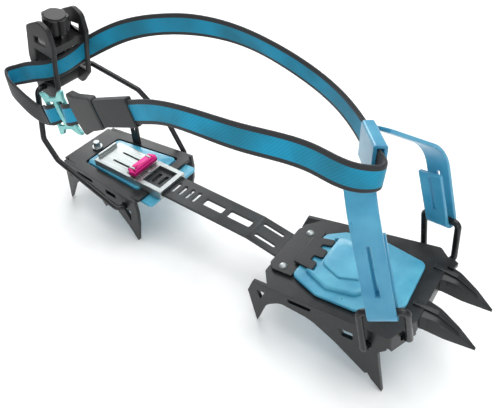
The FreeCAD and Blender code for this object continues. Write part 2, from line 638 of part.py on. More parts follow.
# Locking lever with hinge pin and spring tongue, shown lifted just clear of the bar.
lockLoop = [("0", "-lockHalf + 2.6"), ("lockLong * 0.4", "-lockHalf"), ("lockLong", "-lockHalf + 1"),
            ("lockLong", "lockHalf - 2"), ("lockLong * 0.6", "lockHalf"), ("0", "lockHalf - 2")]
lockPlate = plate("lock_plate", [lockLoop], 3.2, place(hingeX, 0, lockZ - 1.2), soft=lockLoop,
                  radius="archRound * 0.4", edge=0.8)
lockGrip = rod("lock_grip", 1.8, 20, place(hingeX + value("lockLong") - 2.6, 10, lockZ + 1.4,
                                           (1, 0, 0), 90))
earSlots = [box("lock_slot", 7.6, 2.1, 12, place(hingeX - 1.2, y - 0.3, lockZ - 4)) for y in (-9, 7.5)]
lockBore = rod("lock_bore", 1.06, 40, place(hingeX + 2.4, 20, lockZ + 0.4, (1, 0, 0), 90))
keep(cut("locking_lever", fuse("lock_solid", [lockPlate, lockGrip]),
         fuse("lock_voids", [lockBore] + earSlots)))
keep(rod("lock_hinge_pin", 1.0, 26, place(hingeX + 2.4, 13, lockZ + 0.4, (1, 0, 0), 90)))
keep(box("lock_tongue", 2.2, 9, adjustTop - value("barFloor") - value("barThick") - 0.5,
         place(-value("adjustFront") - 3.8, -4.5, value("barFloor") + value("barThick") + 0.5)))
rearShank = rod("adjuster_rivet_shank", 2.5, adjustTop - heelTop + steel + 0.5,
                place(-value("heelBack") + 9, 3, heelTop - steel - 0.3))
rearHead = rod("adjuster_rivet_head", 4.2, 1.4, place(-value("heelBack") + 9, 3, heelTop + 0.1))
frontHead = rod("adjuster_rivet_small", 1.7, 1.0,
                place(-value("adjustFront") + 2.5, 0, adjustTop + 0.05))
keep(group("adjuster_rivets", [fuse("adjuster_rivet_rear", [rearShank, rearHead]), frontHead]))

# Strap keeper post on the far rail.
postLoop = [(0, 0), (7, 0), (7, 18), (0, 18)]
keep(plate("keeper_post", [postLoop, [(2, 10), (5, 10), (5, 15), (2, 15)]], 2.4,
           Placement(Vector(-150, value("heelFar") + 1.2, heelTop + 0.1), standing), soft=postLoop[2:],
           radius="archRound * 0.8"))

# ---- rear bail: one wire from foot to foot through the lever's hub
leverX = -value("leverX")
leverZ = value("leverZ")
bailX = -value("bailX")
bailZ = value("bailZ")
nearWallY = -value("heelNear") - value("heelFlare") / 2 * (value("heelBack") - value("bailX")) / heelLong
farWallY = value("heelFar") + value("heelFlare") * (value("heelBack") - value("bailX")) / heelLong
rearRun = [(bailX, nearWallY + 2, bailZ), (bailX, nearWallY - 9, bailZ), (-166, -34, 53),
           (-179, -32, 66), (leverX, -22, leverZ), (leverX, 26, leverZ), (-146, 36, 84),
           (-126, 43, 58), (bailX, farWallY + 9, bailZ), (bailX, farWallY - 2, bailZ)]
keep(feature("rear_bail", bentWire(rearRun, 5, wire)))

# ---- heel lever in its own frame: origin on the hub, leaning toward the toe
leverPlace = Placement(Vector(leverX, 0, leverZ), Rotation(Vector(0, 1, 0), value("leverLean")))
cheekLoop = [(-7, -7), (7, -8), ("leverDeep / 2 + 2", 4), ("leverDeep / 2 + 1", 22),
             ("leverDeep / 2 + 2", "leverTall - 6"), ("leverDeep / 2 - 2", "leverTall + 6"),
             (2, "leverTall + 8"), ("-leverDeep / 2 + 2", "leverTall"), ("-leverDeep / 2", 20)]
cheekHole = ("circle", 0, 0, "wire + 0.05")
cheekSlot = [(-3, 35), (7, 36), (7, 41), (-3, 39)]
strapGate = [(-4, 5.2), (11.2, 5.2), (11.2, 28.8), (-4, 28.8)]
cheeks = []
for side in (-1, 1):
    y = value("leverHalf") if side > 0 else -value("leverHalf") + value("cheek")
    cheeks.append(plate("lever_cheek", [cheekLoop, cheekHole, cheekSlot, strapGate], "cheek",
                        Placement(Vector(0, y, 0), standing), soft=cheekLoop[:5] + cheekLoop[7:],
                        edge=0.9, arches=[(cheekLoop[5:7], "archRound * 1.8")]))
inside = 2 * (value("leverHalf") - value("cheek")) + 0.4
hub = rod("lever_hub", 6.2, inside, place(0, inside / 2, 0, (1, 0, 0), 90))
hubBore = rod("lever_hub_bore", "wire + 0.05", 60, place(0, 30, 0, (1, 0, 0), 90))
bridge = box("lever_bridge", 18, inside, 5, place(-8, -inside / 2, 29))
backWeb = box("lever_web", 3, inside, 34, place(-9.8, -inside / 2, 0))
screwBore = rod("lever_screw_bore", "screwRound + 0.1", 60, place(0, 0, 8))
solidLever = fuse("lever_solid", cheeks + [hub, bridge, backWeb])
bores = fuse("lever_bores", [hubBore, screwBore])
keep(cut("heel_lever", solidLever, bores, leverPlace))
screw = rod("screw_core", "screwRound", 34, place(0, 0, 12))
wheel = rod("wheel_disc", "wheelRound - 1", 11.5, place(0, 0, 39))
knurls = []
lobes = 7
lobeReach = value("wheelRound") - 2.2
for i in range(lobes):
    angle = 2 * math.pi * i / lobes
    knurls.append(rod("wheel_lobe", 3, 10.5, place(lobeReach * math.cos(angle),
                                                    lobeReach * math.sin(angle), 39)))
keep(fuse("thumb_wheel", [wheel, screw] + knurls, leverPlace))
nutSolid = rod("nut_disc", "nutRound", 7, place(0, 0, 15))
nutBore = rod("nut_bore", "screwRound + 0.05", 20, place(0, 0, 10))
keep(cut("screw_nut", nutSolid, nutBore, leverPlace))

# ---- ankle strap in three bands: front loop, rear near run with its fittings, tail
strapTop = value("strapTop")
frontStations = [(-86, 34, strapTop + 5, 10), (-55, 36, strapTop + 7, 15), (-24, 35, strapTop + 4, 15),
                 (4, 32, strapTop - 2, 10), (30, 20, strapTop - 5, 5), (50, 3, strapTop - 6, 0),
                 (66, -19, strapTop - 1, 0), (71, -27, strapTop, 0), (66, -32, strapTop, 5),
                 (40, -32, strapTop - 1, 12), (0, -34, strapTop - 4, 14), (-53.4, -37, strapTop - 8, 0)]
keep(feature("strap_front", ribbon(frontStations, strapWide, strapThick)))
slant = Vector(-76, 4, -32).normalize()
slantSide = slant.cross(Vector(0, 0, 1)).normalize()
slantUp = slantSide.cross(slant)
start = Vector(-56.6, -37.1, strapTop - 8.8)


def along(distance, out=0.0):
    return start + slant * distance + slantSide * out


def placeAlong(distance, out=0.0):
    return Placement(along(distance, out), Rotation(slant, slantSide, slantUp, "XYZ"))


ringAt = 86
weave = 2.7
run = [(d, 0) for d in range(0, 80, 8)]
run += [(78, 0), (ringAt - 2, -weave), (ringAt + 2.8, -weave), (ringAt + 6.3, 0), (ringAt + 9.8, weave),
        (ringAt + 14.8, weave), (ringAt + 18.3, 0), (ringAt + 21.8, -weave), (ringAt + 26, -weave)]
nearStations = [tuple(along(d, o)) + (0,) for d, o in run]
keep(feature("strap_rear_near", ribbon(nearStations, strapWide, strapThick, 1.5, slantUp)))
tailStart = along(ringAt + 28.2, -weave)
tailStations = [tuple(tailStart) + (0,), tuple(along(ringAt + 32, -weave)) + (0,),
                (-178, -34.9, 95.8, 0), (-190, -34.6, 101.6, 0), (-200, -31.8, 104.2, 0),
                (-204.5, -27, 105.3, 0), (-200, -22.2, 106.8, 0), (-188, -18.8, 111.2, 0),
                (leverX + 8, -13, 113.8, 0), (leverX + 11.6, 0, 115, 0),
                (leverX + 11.4, 13, 116.6, 0), (-162, 22, 124, 0), (-130, 30, 140, 8),
                (-100, 33.4, 149, 10), (-88, 33.9, 151.6, 10)]
keep(feature("strap_tail", ribbon(tailStations, strapWide, strapThick, 3)))
keep(tube("strap_sleeve", 33, strapWide + 3, strapThick + 3.2, 1.1, placeAlong(17)))
buckleLoop = [(0, -10.5), (16, -12), (24, -15), (26, -6), (26, 6), (24, 15), (16, 12), (0, 10.5)]
buckleBody = plate("buckle_plate", [buckleLoop], 6, place(0, 0, -3), soft=buckleLoop,
                   radius="archRound * 0.6", edge=1.2)
buckleSlot = box("buckle_slot", 60, strapWide + 1.4, 3, place(-10, -(strapWide + 1.4) / 2, -1.5))
layFlat = Placement(Vector(), Rotation(Vector(1, 0, 0), 90))
keep(cut("strap_buckle", buckleBody, buckleSlot, placeAlong(52).multiply(layFlat)))
ringOutline = [(0, -10), (-3, -16), (3, -15), (8, -11.5), (18, -11.5), (22, -15), (27, -16),
               (25, -9), (25, 9), (27, 16), (22, 15), (18, 11.5), (8, 11.5), (3, 15), (-3, 16), (0, 10)]
ringWindows = [[(x, -8.6), (x + 7.4, -8.6), (x + 7.4, 8.6), (x, 8.6)] for x in (2.6, 14.6)]
keep(plate("strap_ring", [ringOutline] + ringWindows, 2.4,
           placeAlong(ringAt).multiply(layFlat).multiply(place(0, 0, -1.2)),
           soft=ringOutline, radius="archRound / 3", edge=0.6))

doc.recompute()
failed = []
for made in doc.Objects:
    if any(word in ("Invalid", "Error") for word in made.State):
        failed.append(made.Name)
for made in nodes:
    shape = made.Shape
    if shape.isNull() or not shape.isValid() or not shape.Solids:
        failed.append(made.Name + " shape")
if failed:
    raise SystemExit("not sound: " + ", ".join(failed))
for made in nodes:
    shape = made.Shape
    print(made.Name, len(shape.Solids), round(shape.Volume), shape.BoundBox)
whole = Part.makeCompound([made.Shape for made in nodes]).BoundBox
print("whole", whole, "middle", whole.Center)
# The origin is on the ground under the middle of the whole outline.
toOrigin = place("originX", "-originY", 0)
for made in nodes:
    made.Placement = toOrigin.multiply(made.Placement)
    made.Label = made.Name
    made.Shape.exportStep("parts/%s.step" % made.Name)
print(len(nodes), "nodes written")
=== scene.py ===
import json
import math

import bmesh
import bpy
import numpy as np
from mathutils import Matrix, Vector


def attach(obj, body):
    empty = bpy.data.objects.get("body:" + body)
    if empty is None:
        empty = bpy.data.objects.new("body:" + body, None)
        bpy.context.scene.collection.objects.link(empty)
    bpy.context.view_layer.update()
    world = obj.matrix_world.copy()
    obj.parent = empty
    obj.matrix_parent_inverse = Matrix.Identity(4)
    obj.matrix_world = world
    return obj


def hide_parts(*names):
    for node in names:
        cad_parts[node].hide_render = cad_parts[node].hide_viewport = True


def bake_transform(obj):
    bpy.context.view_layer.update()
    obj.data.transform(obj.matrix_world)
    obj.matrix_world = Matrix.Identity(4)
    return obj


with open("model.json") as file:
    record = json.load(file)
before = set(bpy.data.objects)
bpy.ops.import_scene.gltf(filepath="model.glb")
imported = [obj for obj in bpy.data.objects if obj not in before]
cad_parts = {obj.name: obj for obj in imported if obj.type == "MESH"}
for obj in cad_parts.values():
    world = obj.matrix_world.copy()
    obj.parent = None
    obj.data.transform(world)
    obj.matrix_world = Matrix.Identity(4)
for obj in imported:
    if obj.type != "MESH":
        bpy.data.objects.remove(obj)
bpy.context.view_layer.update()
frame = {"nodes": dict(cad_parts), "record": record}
nodes = frame["nodes"]
mm = 0.001
shiftX, shiftY = 34.5, -4.04  # the part's own drawing has its zero this far from the frame's
print("frame loaded:", len(nodes), "nodes")


def place(x, y, z):
    # a place in the part's own drawing, millimetres, as metres in the frame
    return ((x + shiftX) * mm, (y + shiftY) * mm, z * mm)


def hexColour(text):
    # sRGB hex to linear RGBA
    parts = np.array([int(text[i:i + 2], 16) for i in (1, 3, 5)]) / 255
    linear = np.where(parts <= 0.04045, parts / 12.92, ((parts + 0.055) / 1.055) ** 2.4)
    return (*linear.tolist(), 1.0)


def addNode(tree, kind, settings=None, links=None):
    # one node with its settings and the sockets that feed it
    node = tree.nodes.new(kind)
    for name, value in (settings or {}).items():
        if isinstance(name, str) and hasattr(node, name):
            setattr(node, name, value)
        else:
            node.inputs[name].default_value = value
    for name, source in (links or {}).items():
        if source is not None:
            tree.links.new(source, node.inputs[name])
    return node


def newMaterial(name):
    material = bpy.data.materials.new(name)
    material.use_nodes = True
    tree = material.node_tree
    tree.nodes.clear()
    return material, tree


def ramp(tree, source, stops):
    # colour ramp from a factor, its two stops are (position, sRGB hex)
    node = addNode(tree, "ShaderNodeValToRGB", links={"Fac": source})
    for element, (position, colour) in zip(node.color_ramp.elements, stops):
        element.position = position
        element.color = hexColour(colour)
    return node.outputs[0]


def objectPlace(tree):
    return addNode(tree, "ShaderNodeTexCoord").outputs["Object"]


def noise(tree, spot, grain, detail):
    # soft noise with lumps of about the grain's size
    return addNode(tree, "ShaderNodeTexNoise", {"Scale": 1 / grain, "Detail": detail},
                   {"Vector": spot}).outputs[0]


def spread(tree, source, low, high):
    # a factor of 0 to 1, made to run from low to high
    return addNode(tree, "ShaderNodeMapRange", {"To Min": low, "To Max": high},
                   {"Value": source}).outputs[0]


def times(tree, first, second):
    return addNode(tree, "ShaderNodeMath", {"operation": "MULTIPLY"},
                   {0: first, 1: second}).outputs[0]


def covered(tree, amount, base, colour):
    # the base colour under another, which covers it by the amount
    node = addNode(tree, "ShaderNodeMix", {"data_type": "RGBA"}, {0: amount, 6: base})
    node.inputs[7].default_value = hexColour(colour)
    return node.outputs[2]


def bumped(tree, height, strength, depth, normal=None):
    # the surface's direction, tipped by the slopes of a height
    return addNode(tree, "ShaderNodeBump", {"Strength": strength, "Distance": depth},
                   {"Height": height, "Normal": normal}).outputs[0]


def edgeMask(tree, radius, low, high):
    # 1 where the surface turns within the radius and 0 on the flats, and the rounded direction
    soft = addNode(tree, "ShaderNodeBevel", {"samples": 4, "Radius": radius}).outputs[0]
    flat = addNode(tree, "ShaderNodeNewGeometry").outputs["Normal"]
    dot = addNode(tree, "ShaderNodeVectorMath", {"operation": "DOT_PRODUCT"}, {0: soft, 1: flat})
    mask = addNode(tree, "ShaderNodeMapRange",
                   {"From Min": low, "From Max": high, "To Min": 1.0, "To Max": 0.0},
                   {"Value": dot.outputs["Value"]})
    return mask.outputs[0], soft


def finishMaterial(tree, settings, colour, rough=None, normal=None):
    # the surface shader, fed by the nodes before it, joined to the material's output
    shader = addNode(tree, "ShaderNodeBsdfPrincipled", settings,
                     {"Base Color": colour, "Roughness": rough, "Normal": normal})
    out = addNode(tree, "ShaderNodeOutputMaterial")
    tree.links.new(shader.outputs[0], out.inputs["Surface"])


view = {"azimuth": 34.58, "elevation": 43.47, "lens": 38.34,
        "place": (0.1602, -0.21064, 0.3004), "sensor": 36, "nearest": 0.01}
camera = bpy.data.objects.new("camera", bpy.data.cameras.new("camera"))
bpy.context.scene.collection.objects.link(camera)
camera.location = view["place"]
camera.rotation_euler = (math.radians(90 - view["elevation"]), 0, math.radians(view["azimuth"]))
camera.data.lens = view["lens"]
camera.data.sensor_width = view["sensor"]
camera.data.clip_start = view["nearest"]
bpy.context.scene.camera = camera


floorSheet = {"half": 4.0, "drop": 0.2 * mm}


def floorMaterial():
    # matt studio paper: even and pale, with the faintest mottling
    material, tree = newMaterial("matt_studio_paper")
    mottle = addNode(tree, "ShaderNodeTexNoise", {"Scale": 30.0, "Detail": 3.0},
                     {"Vector": objectPlace(tree)})
    tone = ramp(tree, mottle.outputs[0], [(0.3, "#F5F5F4"), (0.7, "#FBFBFA")])
    finishMaterial(tree, {"Roughness": 0.85}, tone)
    return material


def buildFloor(settings):
    # one square sheet, a hair under the points
    half, low = settings["half"], -settings["drop"]
    mesh = bpy.data.meshes.new("floor")
    corners = [(-half, -half, low), (half, -half, low), (half, half, low), (-half, half, low)]
    mesh.from_pydata(corners, [], [(0, 1, 2, 3)])
    mesh.materials.append(floorMaterial())
    piece = bpy.data.objects.new("floor", mesh)
    bpy.context.scene.collection.objects.link(piece)


buildFloor(floorSheet)


def addLight(name, spot, aim, size, power):
    # a white square lamp at the spot, turned to face the aim
    light = bpy.data.lights.new(name, "AREA")
    light.size = size
    light.energy = power
    lamp = bpy.data.objects.new(name, light)
    lamp.location = spot
    lamp.rotation_euler = (Vector(aim) - Vector(spot)).to_track_quat("-Z", "Y").to_euler()
    bpy.context.scene.collection.objects.link(lamp)


addLight("overhead_softbox", (0.1, 0.25, 1.3), (0, 0, 0.05), 1.2, 15)
addLight("front_fill", (0.9, -1.0, 0.7), (0, 0, 0.05), 0.9, 5)
addLight("back_rim", (-0.9, 0.8, 0.6), (0, 0, 0.08), 0.6, 6)
studioAir = {"colour": "#F2F5F7", "strength": 0.62}
world = bpy.data.worlds.new("studio")
world.use_nodes = True
background = world.node_tree.nodes["Background"]
background.inputs["Color"].default_value = hexColour(studioAir["colour"])
background.inputs["Strength"].default_value = studioAir["strength"]
bpy.context.scene.world = world
bpy.context.scene.view_settings.view_transform = "Standard"  # colours come out as they are set
print("camera, floor and light ready")


# sizes in millimetres: the tone's clouds, the paint chips, the scratches, the dip's fine grain
# and how far wear reaches in from an edge; scratch is how far the scratches show
blackCoat = {"dark": "#151617", "pale": "#252728", "worn": "#666B6D", "cloud": 18, "chip": 1.5,
             "line": 6, "grain": 0.6, "edge": 0.5, "scratch": 0.12}


def coatedSteel(name, settings, roughness):
    # electro-coated steel plate: a thin satin black skin, finely orange-peeled by the dip,
    # rubbed paler along its laser-cut edges and lightly scratched on the flats
    material, tree = newMaterial(name)
    spot = objectPlace(tree)
    cloud = noise(tree, spot, settings["cloud"] * mm, 4.0)
    tone = ramp(tree, cloud, [(0.3, settings["dark"]), (0.75, settings["pale"])])
    edgeWearAndPaintedLight, soft = edgeMask(tree, settings["edge"] * mm, 0.80, 0.99)
    chipped = times(tree, edgeWearAndPaintedLight, noise(tree, spot, settings["chip"] * mm, 5.0))
    worn = addNode(tree, "ShaderNodeMapRange", {"From Min": 0.25, "From Max": 0.75, "To Max": 0.7},
                   {"Value": chipped})
    stretch = addNode(tree, "ShaderNodeMapping", {"Scale": (1, 9, 5), "Rotation": (0, 0, 0.5)},
                      {"Vector": spot})
    lines = noise(tree, stretch.outputs[0], settings["line"] * mm, 6.0)
    scratch = addNode(tree, "ShaderNodeMapRange",
                      {"From Min": 0.62, "From Max": 0.7, "To Max": settings["scratch"]},
                      {"Value": lines})
    marks = addNode(tree, "ShaderNodeMath", {"operation": "MAXIMUM"},
                    {0: worn.outputs[0], 1: scratch.outputs[0]})
    colour = covered(tree, marks.outputs[0], tone, settings["worn"])
    rough = addNode(tree, "ShaderNodeMapRange",
                    {"From Min": 0.3, "From Max": 0.7, "To Min": roughness - 0.06,
                     "To Max": roughness + 0.08}, {"Value": cloud})
    peel = noise(tree, spot, settings["grain"] * mm, 2.0)
    finishMaterial(tree, {"Metallic": 0.2, "Specular IOR Level": 0.45}, colour, rough.outputs[0],
                   bumped(tree, peel, 0.12, 0.05 * mm, soft))
    return material


# the brushed lines' spacing and how far wear reaches in from an edge, in millimetres
silver = {"dark": "#868C8C", "pale": "#B4BAB9", "worn": "#F2F4F3", "line": 0.5, "edge": 0.35}


def brushedSteel(name, settings):
    # zinc-plated sheet, brushed along its length: pale silver with fine lines lengthwise
    material, tree = newMaterial(name)
    stretch = addNode(tree, "ShaderNodeMapping", {"Scale": (0.03, 1, 1)},
                      {"Vector": objectPlace(tree)})
    lines = noise(tree, stretch.outputs[0], settings["line"] * mm, 4.0)
    tone = ramp(tree, lines, [(0.3, settings["dark"]), (0.7, settings["pale"])])
    edgeWearAndPaintedLight, soft = edgeMask(tree, settings["edge"] * mm, 0.80, 0.99)
    colour = covered(tree, edgeWearAndPaintedLight, tone, settings["worn"])
    finishMaterial(tree, {"Metallic": 0.9}, colour, spread(tree, lines, 0.28, 0.46),
                   bumped(tree, lines, 0.15, 0.03 * mm, soft))
    return material


def anodised(name, dark, pale, edge):
    # dyed anodised aluminium: deep clear colour over a bead-blasted grain, pale at worn edges
    material, tree = newMaterial(name)
    spot = objectPlace(tree)
    tone = ramp(tree, noise(tree, spot, 9 * mm, 3.0), [(0.3, dark), (0.7, pale)])
    edgeWearAndPaintedLight, soft = edgeMask(tree, 0.4 * mm, 0.80, 0.99)
    worn = times(tree, edgeWearAndPaintedLight, noise(tree, spot, 1.2 * mm, 4.0))
    blast = noise(tree, spot, 0.5 * mm, 2.0)
    finishMaterial(tree, {"Metallic": 0.75}, covered(tree, worn, tone, edge),
                   spread(tree, blast, 0.3, 0.45), bumped(tree, blast, 0.12, 0.04 * mm, soft))
    return material


def mouldedPlastic(name, dark, pale, roughness):
    # glass-filled nylon, injection moulded: near black with a fine spark-eroded grain
    # and rounded edges painted a paler grey, a painted soft highlight
    material, tree = newMaterial(name)
    spot = objectPlace(tree)
    cloud = noise(tree, spot, 14 * mm, 4.0)
    tone = ramp(tree, cloud, [(0.3, dark), (0.72, pale)])
    edgeWearAndPaintedLight, soft = edgeMask(tree, 0.7 * mm, 0.75, 0.99)
    # an even paler grey band along every rounded edge: painted highlight
    paintedEdgeHighlight = addNode(tree, "ShaderNodeMath", {"operation": "MULTIPLY", 1: 0.35}, {0: edgeWearAndPaintedLight})
    grain = addNode(tree, "ShaderNodeTexVoronoi", {"Scale": 1 / (0.7 * mm)}, {"Vector": spot})
    finishMaterial(tree, {"Specular IOR Level": 0.45},
                   covered(tree, paintedEdgeHighlight.outputs[0], tone, "#5C6062"),
                   spread(tree, cloud, roughness - 0.05, roughness + 0.1),
                   bumped(tree, grain.outputs["Distance"], 0.18, 0.06 * mm, soft))
    return material


# how the light passes through the moulded blue parts
clearBody = {"IOR": 1.5, "Subsurface Weight": 0.25, "Subsurface Scale": 2 * mm,
             "Subsurface Radius": (0.4, 0.9, 1.0), "Coat Weight": 0.2, "Coat Roughness": 0.25}


def clearElastomer(name, deep, pale, paintedEdgeShade, through):
    # soft polyurethane, moulded and tinted blue: milky and see-through, glossy on the ribs,
    # with a deeper blue painted where the wall turns away, as painted shade
    material, tree = newMaterial(name)
    spot = objectPlace(tree)
    tone = ramp(tree, noise(tree, spot, 16 * mm, 5.0), [(0.28, deep), (0.7, pale)])
    edgeWearAndPaintedLight, soft = edgeMask(tree, 0.9 * mm, 0.7, 0.99)
    # the turning edges are painted a deeper blue: painted shade
    rim = addNode(tree, "ShaderNodeMath", {"operation": "MULTIPLY", 1: 0.6}, {0: edgeWearAndPaintedLight})
    ripple = noise(tree, spot, 5 * mm, 3.0)
    finishMaterial(tree, {**clearBody, "Transmission Weight": through},
                   covered(tree, rim.outputs[0], tone, paintedEdgeShade), spread(tree, ripple, 0.22, 0.42),
                   bumped(tree, ripple, 0.2, 0.25 * mm, soft))
    return material


blackSteel = coatedSteel("electrocoated_steel_plate", blackCoat, 0.36)
wireSteel = coatedSteel("gloss_black_steel_wire", {**blackCoat, "pale": "#1E2022", "scratch": 0.1}, 0.26)
darkSteel = coatedSteel("satin_graphite_steel_bar",
                        {**blackCoat, "dark": "#1B1E1F", "pale": "#2A2E30", "edge": 0.35}, 0.34)
silverSteel = brushedSteel("zinc_plated_brushed_steel", silver)
magenta = anodised("magenta_anodised_aluminium", "#9C0F5A", "#BE1670", "#DC5FA4")
teal = anodised("pale_teal_anodised_aluminium", "#6BB3B1", "#8CC9C6", "#CDEBE9")
nylon = mouldedPlastic("black_glass_filled_nylon", "#101010", "#1B1B1B", 0.42)
greyNylon = mouldedPlastic("dark_grey_acetal", "#2A2B2C", "#383939", 0.5)
# the third colour of each blue part is the painted shade at its turning edges
skinBlue = clearElastomer("tinted_soft_polyurethane_plate", "#3A9EC2", "#66C2DC", "#2781A8", 0.3)
harnessBlue = clearElastomer("tinted_soft_polyurethane_harness", "#389CC4", "#5CB6D6", "#2785B0", 0.35)

finishes = {
    "toe_frame": blackSteel, "heel_frame": blackSteel, "bar_end_plate": blackSteel,
    "skin_latch": blackSteel, "centre_bar": darkSteel, "thumb_wheel": nylon,
    "screw_nut": darkSteel, "bar_rivets": silverSteel, "adjuster_plate": silverSteel,
    "adjuster_ring": silverSteel, "lock_hinge_pin": silverSteel, "lock_tongue": silverSteel,
    "adjuster_rivets": silverSteel, "locking_lever": magenta, "strap_ring": teal,
    "toe_bail_near": wireSteel, "toe_bail_far": wireSteel, "rear_bail": wireSteel,
    "keeper_post": nylon, "heel_lever": nylon, "strap_buckle": greyNylon,
    "toe_skin": skinBlue, "heel_skin": skinBlue, "harness_leg_near": harnessBlue,
    "harness_leg_far": harnessBlue, "harness_yoke": harnessBlue,
}
# millimetres and degrees: the usual roll of an edge, the angle that counts as an edge, how near
# two corners are to be one, how flat two faces are to be joined, and the rolls that differ
softened = {"width": 0.35, "angle": 35, "segments": 2, "weld": 0.004, "flat": 0.4,
            "ownWidths": {"toe_skin": 0.2, "heel_skin": 0.3, "heel_lever": 0.5, "bar_rivets": 0.3,
                          "toe_bail_near": 0, "toe_bail_far": 0, "rear_bail": 0,
                          "strap_ring": 0.25, "lock_hinge_pin": 0.2, "adjuster_rivets": 0.25,
                          "harness_yoke": 0.3, "strap_sleeve": 0.3}}
# the bail that each harness leg follows, where the leg stops following the yoke, and where it
# follows the wire alone
legRuns = {"harness_leg_near": ("near_bail", (62, -20, 140), (88, -36, 78)),
           "harness_leg_far": ("far_bail", (62, 8, 144), (88, 47, 74))}
bodyOf = {node: body for body, members in frame["record"]["behaviour"]["bodies"].items()
          for node in members}


def softenedCopy(node, material, settings):
    # the CAD piece's own triangles, welded where they touch and flat faces joined again, then
    # every edge sharper than the angle is rolled over by a small radius and shaded smooth
    mesh = nodes[node].data.copy()
    work = bmesh.new()
    work.from_mesh(mesh)
    bmesh.ops.remove_doubles(work, verts=work.verts, dist=settings["weld"] * mm)
    bmesh.ops.dissolve_limit(work, angle_limit=math.radians(settings["flat"]), verts=work.verts,
                             edges=work.edges)
    for face in work.faces:
        face.smooth = True
    work.to_mesh(mesh)
    work.free()
    mesh.materials.clear()
    mesh.materials.append(material)
    piece = bpy.data.objects.new(node + "_finished", mesh)
    bpy.context.scene.collection.objects.link(piece)
    width = settings["ownWidths"].get(node, settings["width"]) * mm
    if width:
        roll = piece.modifiers.new("rolled_edges", "BEVEL")
        roll.width = width
        roll.segments = settings["segments"]
        roll.limit_method = "ANGLE"
        roll.angle_limit = math.radians(settings["angle"])
        roll.harden_normals = False
    bpy.context.view_layer.objects.active = piece
    piece.select_set(True)
    bpy.ops.object.shade_smooth_by_angle(angle=math.radians(settings["angle"]))
    piece.select_set(False)
    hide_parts(node)
    if node in legRuns:
        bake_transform(piece)
    else:
        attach(piece, bodyOf[node])


for nodeName, material in finishes.items():
    softenedCopy(nodeName, material, softened)
print("metal and moulded parts finished:", len(finishes))


# stripe is half the cyan band's width and rib half the ribs' spacing, in millimetres; crown is
# how far a face swells, as a share of half the thickness
webbing = {"width": 15 * mm, "thick": 1.8 * mm, "stripe": 4.9, "step": 1.5 * mm,
           "cyan": "#0E8FB4", "cyanDeep": "#127691", "black": "#232527", "grey": "#343638",
           "rib": 1.1, "crown": 0.12, "edgePoints": 7, "facePoints": 13}
waveUnit = 0.314  # a wave texture of this scale has one rib in every two units along each axis


def webbingMaterial(settings):
    # polyester webbing, woven 15 mm wide: matt, with a cyan band between dark selvedges on one
    # face and plain charcoal on the other; its ribs are drawn coarser than the 0.6 mm thread
    # spacing so that they show
    material, tree = newMaterial("woven_polyester_webbing")
    weave = addNode(tree, "ShaderNodeAttribute", {"attribute_name": "weave"})
    parts = addNode(tree, "ShaderNodeSeparateXYZ", links={0: weave.outputs["Vector"]})
    across, lengthwise, face = parts.outputs
    fromMiddle = addNode(tree, "ShaderNodeMath", {"operation": "ABSOLUTE"}, {0: across})
    band = addNode(tree, "ShaderNodeMapRange",
                   {"From Min": settings["stripe"] - 0.15, "From Max": settings["stripe"] + 0.15,
                    "To Min": 1.0, "To Max": 0.0}, {"Value": fromMiddle.outputs[0]})
    front = addNode(tree, "ShaderNodeMapRange", {"From Min": 0.2, "From Max": 0.5}, {"Value": face})
    stripe = times(tree, band.outputs[0], front.outputs[0])
    flatten = addNode(tree, "ShaderNodeCombineXYZ", links={0: across, 1: lengthwise})
    ribs = addNode(tree, "ShaderNodeTexWave",
                   {"bands_direction": "DIAGONAL", "Scale": waveUnit / settings["rib"], "Distortion": 0.6,
                    "Detail": 2.0, "Detail Scale": 2.0}, {"Vector": flatten.outputs[0]})
    fibre = addNode(tree, "ShaderNodeTexNoise", {"Scale": 1.6, "Detail": 4.0},
                    {"Vector": flatten.outputs[0]})
    fade = addNode(tree, "ShaderNodeTexNoise", {"Scale": 0.035, "Detail": 2.0},
                   {"Vector": flatten.outputs[0]})
    blue = ramp(tree, fade.outputs[0], [(0.35, settings["cyanDeep"]), (0.62, settings["cyan"])])
    dark = ramp(tree, fibre.outputs[0], [(0.3, settings["black"]), (0.75, settings["grey"])])
    colour = addNode(tree, "ShaderNodeMix", {"data_type": "RGBA"}, {0: stripe, 6: dark, 7: blue})
    # the colour is scaled by the ribs, lighter on their crowns and darker between them: painted highlight
    # and painted shade
    shade = spread(tree, ribs.outputs["Fac"], 0.92, 1.05)
    woven = addNode(tree, "ShaderNodeVectorMath", {"operation": "SCALE"},
                    {0: colour.outputs[2], "Scale": shade})
    height = addNode(tree, "ShaderNodeMath", {"operation": "MULTIPLY_ADD", 1: 0.4},
                     {0: fibre.outputs[0], 2: ribs.outputs["Fac"]})
    finishMaterial(tree, {"Sheen Weight": 0.25, "Sheen Roughness": 0.4, "Specular IOR Level": 0.3},
                   woven.outputs[0], spread(tree, fibre.outputs[0], 0.62, 0.85),
                   bumped(tree, height.outputs[0], 0.35, 0.15 * mm))
    return material


webbingCloth = webbingMaterial(webbing)


